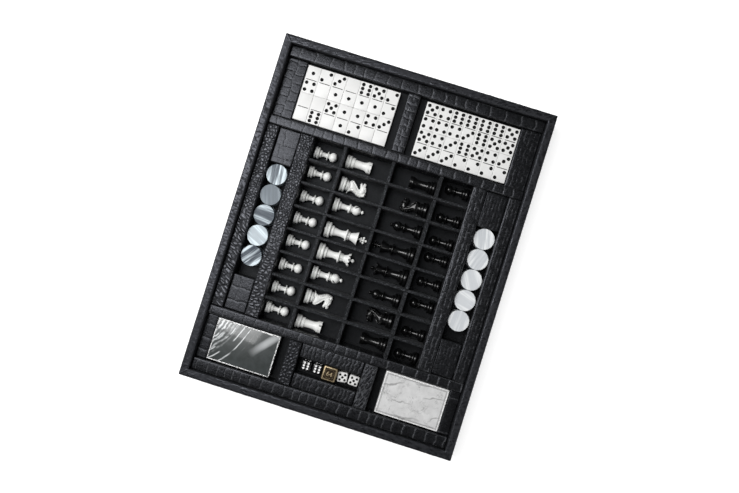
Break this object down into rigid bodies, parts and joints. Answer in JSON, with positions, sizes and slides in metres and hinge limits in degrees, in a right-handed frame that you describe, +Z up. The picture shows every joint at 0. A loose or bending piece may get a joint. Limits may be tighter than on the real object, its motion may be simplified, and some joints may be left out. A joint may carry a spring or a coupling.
{
  "type": "games compendium box",
  "caption": "Shallow open tray with upholstered rails and fitted wells that hold chessmen, dominoes, checkers, dice and two decks of cards.",
  "frame": {"origin": "on the ground, under the middle of the tray", "axes": "+X to the right across the tray, +Y along it towards the domino end, +Z up out of the wells"},
  "size_m": [0.4, 0.5048, 0.054],
  "materials": {
    "rim_leather": "black leatherette with a fine embossed grain, satin",
    "rail_leather": "black crocodile-embossed leatherette, satin",
    "pad_leather": "black crocodile-embossed leatherette, satin",
    "suede": "black suede-like flock",
    "base_board": "plain fibreboard",
    "white_resin": "polished white resin",
    "black_resin": "polished black resin",
    "ivory_resin": "polished off-white resin",
    "dark_pearl": "slate-blue pearl acrylic with streaks",
    "light_pearl": "white pearl acrylic with streaks",
    "antique_brass": "aged brass, dark in its recesses",
    "dark_card": "printed card, black marbling, in clear film",
    "light_card": "printed card, white marbling, in clear film",
    "card_stock": "coated playing card stock"
  },
  "bodies": {
    "tray": {"head_wall": "rim_leather", "foot_wall": "rim_leather", "left_wall": "rim_leather", "right_wall": "rim_leather", "base_panel": "base_board", "base_cover": "suede", "floor_lining": "suede", "head_rail": "rail_leather", "foot_rail": "rail_leather", "upper_cross_rail": "rail_leather", "lower_cross_rail": "rail_leather", "left_outer_rail": "rail_leather", "left_inner_rail": "rail_leather", "right_inner_rail": "rail_leather", "right_outer_rail": "rail_leather", "domino_post": "rail_leather", "dice_posts": "rail_leather", "left_domino_block": "pad_leather", "right_domino_block": "pad_leather", "left_checker_blocks": "pad_leather", "right_checker_blocks": "pad_leather", "card_blocks": "pad_leather", "dice_pads": "pad_leather", "long_slats": "suede", "cross_slats": "suede", "domino_plinths": "suede", "checker_plinths": "pad_leather", "card_plinths": "suede", "dice_plinth": "suede"},
    "white_king": {"white_king": "white_resin"},
    "white_queen": {"white_queen": "white_resin"},
    "white_bishops": {"white_bishops": "white_resin"},
    "white_knights": {"white_knights": "white_resin"},
    "white_rooks": {"white_rooks": "white_resin"},
    "white_pawns": {"white_pawns": "white_resin"},
    "black_king": {"black_king": "black_resin"},
    "black_queen": {"black_queen": "black_resin"},
    "black_bishops": {"black_bishops": "black_resin"},
    "black_knights": {"black_knights": "black_resin"},
    "black_rooks": {"black_rooks": "black_resin"},
    "black_pawns": {"black_pawns": "black_resin"},
    "left_dominoes": {"left_dominoes": "ivory_resin"},
    "right_dominoes": {"right_dominoes": "ivory_resin"},
    "dark_checkers": {"dark_checkers": "dark_pearl"},
    "light_checkers": {"light_checkers": "light_pearl"},
    "black_die_1": {"black_die_1": "black_resin"},
    "black_die_2": {"black_die_2": "black_resin"},
    "doubling_cube": {"doubling_cube": "antique_brass"},
    "white_die_1": {"white_die_1": "ivory_resin"},
    "white_die_2": {"white_die_2": "ivory_resin"},
    "dark_deck": {"dark_deck_tuck_case": "dark_card", "dark_deck_cards": "card_stock"},
    "light_deck": {"light_deck_tuck_case": "light_card", "light_deck_cards": "card_stock"}
  },
  "joints": [
    {"name": "white_king_lift", "type": "slide", "parent": "tray", "child": "white_king", "axis": [0, 0, 1], "range_m": [0, 0.06]},
    {"name": "white_queen_lift", "type": "slide", "parent": "tray", "child": "white_queen", "axis": [0, 0, 1], "range_m": [0, 0.06]},
    {"name": "white_bishops_lift", "type": "slide", "parent": "tray", "child": "white_bishops", "axis": [0, 0, 1], "range_m": [0, 0.06]},
    {"name": "white_knights_lift", "type": "slide", "parent": "tray", "child": "white_knights", "axis": [0, 0, 1], "range_m": [0, 0.06]},
    {"name": "white_rooks_lift", "type": "slide", "parent": "tray", "child": "white_rooks", "axis": [0, 0, 1], "range_m": [0, 0.06]},
    {"name": "white_pawns_lift", "type": "slide", "parent": "tray", "child": "white_pawns", "axis": [0, 0, 1], "range_m": [0, 0.06]},
    {"name": "black_king_lift", "type": "slide", "parent": "tray", "child": "black_king", "axis": [0, 0, 1], "range_m": [0, 0.06]},
    {"name": "black_queen_lift", "type": "slide", "parent": "tray", "child": "black_queen", "axis": [0, 0, 1], "range_m": [0, 0.06]},
    {"name": "black_bishops_lift", "type": "slide", "parent": "tray", "child": "black_bishops", "axis": [0, 0, 1], "range_m": [0, 0.06]},
    {"name": "black_knights_lift", "type": "slide", "parent": "tray", "child": "black_knights", "axis": [0, 0, 1], "range_m": [0, 0.06]},
    {"name": "black_rooks_lift", "type": "slide", "parent": "tray", "child": "black_rooks", "axis": [0, 0, 1], "range_m": [0, 0.06]},
    {"name": "black_pawns_lift", "type": "slide", "parent": "tray", "child": "black_pawns", "axis": [0, 0, 1], "range_m": [0, 0.06]},
    {"name": "left_dominoes_lift", "type": "slide", "parent": "tray", "child": "left_dominoes", "axis": [0, 0, 1], "range_m": [0, 0.06]},
    {"name": "right_dominoes_lift", "type": "slide", "parent": "tray", "child": "right_dominoes", "axis": [0, 0, 1], "range_m": [0, 0.06]},
    {"name": "dark_checkers_lift", "type": "slide", "parent": "tray", "child": "dark_checkers", "axis": [0, 0, 1], "range_m": [0, 0.06]},
    {"name": "light_checkers_lift", "type": "slide", "parent": "tray", "child": "light_checkers", "axis": [0, 0, 1], "range_m": [0, 0.06]},
    {"name": "black_die_1_lift", "type": "slide", "parent": "tray", "child": "black_die_1", "axis": [0, 0, 1], "range_m": [0, 0.06]},
    {"name": "black_die_2_lift", "type": "slide", "parent": "tray", "child": "black_die_2", "axis": [0, 0, 1], "range_m": [0, 0.06]},
    {"name": "doubling_cube_lift", "type": "slide", "parent": "tray", "child": "doubling_cube", "axis": [0, 0, 1], "range_m": [0, 0.06]},
    {"name": "white_die_1_lift", "type": "slide", "parent": "tray", "child": "white_die_1", "axis": [0, 0, 1], "range_m": [0, 0.06]},
    {"name": "white_die_2_lift", "type": "slide", "parent": "tray", "child": "white_die_2", "axis": [0, 0, 1], "range_m": [0, 0.06]},
    {"name": "dark_deck_lift", "type": "slide", "parent": "tray", "child": "dark_deck", "axis": [0, 0, 1], "range_m": [0, 0.06]},
    {"name": "light_deck_lift", "type": "slide", "parent": "tray", "child": "light_deck", "axis": [0, 0, 1], "range_m": [0, 0.06]}
  ]
}
